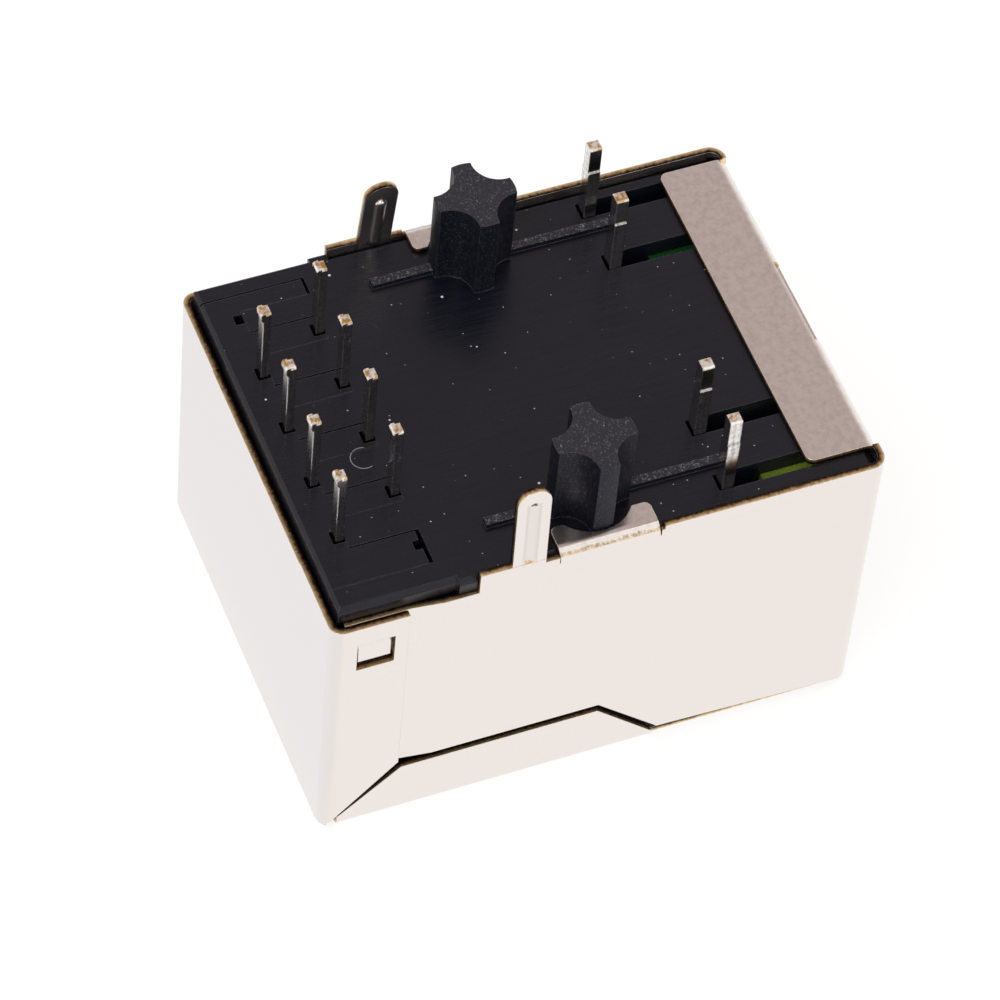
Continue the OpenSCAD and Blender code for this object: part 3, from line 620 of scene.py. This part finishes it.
def addBeads(look):
    # the groove pressed into each board tab stands out as a round bead on its inner face
    work = bmesh.new()
    turns = look["turns"]
    for side, lean, rise in look["tabs"]:
        tilt = math.radians(lean)
        start, stop = look["from"], rise - look["endGap"]
        rows = []
        for i in range(look["rows"] + 1):
            t = i / look["rows"]
            along = start + (stop - start) * t
            nearEnd = min(along - start, stop - along)
            swell = math.sqrt(max(0.0, 1 - max(0.0, 1 - nearEnd / look["halfWidth"]) ** 2))
            ring = []
            for j in range(turns + 1):
                turn = math.pi * j / turns
                across = math.cos(turn) * look["halfWidth"] * max(swell, 0.02)
                proud = math.sin(turn) * look["height"] * swell - 0.01
                inX = -look["sheet"] - proud
                x = look["side"] + inX * math.cos(tilt) - along * math.sin(tilt)
                z = look["root"] + inX * math.sin(tilt) + along * math.cos(tilt)
                ring.append(work.verts.new(Vector((side * x, look["y"] + across, z)) * mm))
            rows.append(ring)
        for low, high in zip(rows, rows[1:]):
            for j in range(turns):
                corners = [low[j], low[j + 1], high[j + 1], high[j]]
                work.faces.new(corners if side > 0 else corners[::-1])
            back = [low[0], high[0], high[turns], low[turns]]
            work.faces.new(back if side > 0 else back[::-1])
        for ring, flip in ((rows[0], side < 0), (rows[-1], side > 0)):
            work.faces.new(ring if flip else ring[::-1])
    bmesh.ops.recalc_face_normals(work, faces=work.faces)
    mesh = bpy.data.meshes.new("tabBeads")
    work.to_mesh(mesh)
    work.free()
    mesh.shade_smooth()
    bead = bpy.data.objects.new("tabBeads", mesh)
    bpy.context.scene.collection.objects.link(bead)
    mesh.materials.append(sheetMetal)
    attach(bead, "root")


for node, choices in dressed.items():
    piece = copySolid(node, *choices)
    if node == "shield_shell":
        addBeads(tabBeads)
        markCuts(piece, cuts)
        print("cut faces:", sum(1 for v in piece.data.attributes["cutEdge"].data if v.value > 0.5))
for nodeName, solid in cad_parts.items():
    for start, material in kept.items():
        if nodeName.startswith(start):
            if not solid.material_slots:
                solid.data.materials.append(material)
            for s in solid.material_slots:
                s.link = "OBJECT"
                s.material = material
print("solids dressed")


studio = {
    "floor": "#FFFFFF", "floorSize": 3.0, "floorDrop": 0.00002, "floorGlow": 0.8, "floorShade": "#82807E",
    # what the metal mirrors: paper beside the jack, paper behind it from a distance in mm, the room low and high up
    "mirrorSide": (0.99, 0.99, 1.0, 1), "mirrorRear": (0.93, 0.945, 0.985, 1), "rearFrom": 9.0, "rearBlend": 3.0,
    "low": (1.0, 0.99, 0.98, 1), "high": (0.50, 0.43, 0.42, 1), "rise": (0.15, 0.6),
    "white": (1, 1, 1, 1), "lightLevel": 0.9,
}


def makeFloor(rig):
    half = rig["floorSize"] / 2
    mesh = bpy.data.meshes.new("floor")
    corners = [(-half, -half, 0), (half, -half, 0), (half, half, 0), (-half, half, 0)]
    mesh.from_pydata(corners, [], [(0, 1, 2, 3)])
    floor = bpy.data.objects.new("floor", mesh)
    bpy.context.scene.collection.objects.link(floor)
    floor.location.z = -rig["floorDrop"]
    # matt white paper: the camera sees it glow just under white, so that the soft shadow shows on it
    material = bpy.data.materials.new("paperSweep")
    material.use_nodes = True
    tree = material.node_tree
    tree.nodes.clear()
    path = add(tree, "LightPath").node.outputs
    clear = add(tree, "Math", path["Is Glossy Ray"], path["Is Transmission Ray"], operation="MAXIMUM")
    seen = add(tree, "Math", path["Is Camera Ray"], clear, operation="MAXIMUM")
    paper = add(tree, "BsdfDiffuse", {"Color": linear(rig["floor"])})
    glow = add(tree, "Emission", {"Color": linear(rig["floor"]), "Strength": rig["floorGlow"]})
    shade = add(tree, "BsdfDiffuse", {"Color": linear(rig["floorShade"])})
    lit = add(tree, "AddShader", glow, shade)
    y = add(tree, "SeparateXYZ", add(tree, "TexCoord", out="Object"), out=1)
    edge = rig["rearFrom"] * mm
    behind = add(tree, "MapRange", y, edge, edge + rig["rearBlend"] * mm, 0.0, 1.0)
    tint = add(tree, "Mix", {0: behind, 6: rig["mirrorSide"], 7: rig["mirrorRear"]}, out=2, data_type="RGBA")
    mirrored = add(tree, "Emission", {"Color": tint, "Strength": 1.0})
    view = add(tree, "MixShader", path["Is Glossy Ray"], lit, mirrored)
    add(tree, "OutputMaterial", {"Surface": add(tree, "MixShader", seen, paper, view)})
    mesh.materials.append(material)


def makeWorld(rig):
    world = bpy.data.worlds.new("studio")
    bpy.context.scene.world = world
    world.use_nodes = True
    tree = world.node_tree
    tree.nodes.clear()
    z = add(tree, "SeparateXYZ", add(tree, "TexCoord", out="Generated"), out=2)
    rise = add(tree, "MapRange", z, *rig["rise"])
    sky = add(tree, "Mix", {0: rise, 6: rig["low"], 7: rig["high"]}, out=2, data_type="RGBA")
    path = add(tree, "LightPath").node.outputs
    clear = add(tree, "Math", path["Is Glossy Ray"], path["Is Transmission Ray"], operation="MAXIMUM")
    soft = add(tree, "Background", {"Color": rig["white"], "Strength": rig["lightLevel"]})
    mirrored = add(tree, "Background", {"Color": sky, "Strength": 1.0})
    white = add(tree, "Background", {"Color": rig["white"], "Strength": 1.0})
    first = add(tree, "MixShader", clear, soft, mirrored)
    add(tree, "OutputWorld", {"Surface": add(tree, "MixShader", path["Is Camera Ray"], first, white)})


lamps = {
    # place in mm, size in mm, watts
    "keySoftbox": ((-120, 160, 260), 160, 0.35),
    "fillSoftbox": ((-240, -200, 140), 200, 0.2),
}
lampAim = (0, 0, 10)                     # mm: the middle of the jack


def makeLamps(rig, target):
    for name, (place, size, power) in rig.items():
        data = bpy.data.lights.new(name, "AREA")
        data.size = size * mm
        data.energy = power
        lamp = bpy.data.objects.new(name, data)
        lamp.location = Vector(place) * mm
        lamp.rotation_mode = "QUATERNION"
        aim = Vector(target) * mm - lamp.location
        lamp.rotation_quaternion = aim.to_track_quat("-Z", "Y")
        bpy.context.scene.collection.objects.link(lamp)


makeFloor(studio)
makeWorld(studio)
makeLamps(lamps, lampAim)
bpy.context.scene.view_settings.view_transform = "Standard"
print("studio ready")
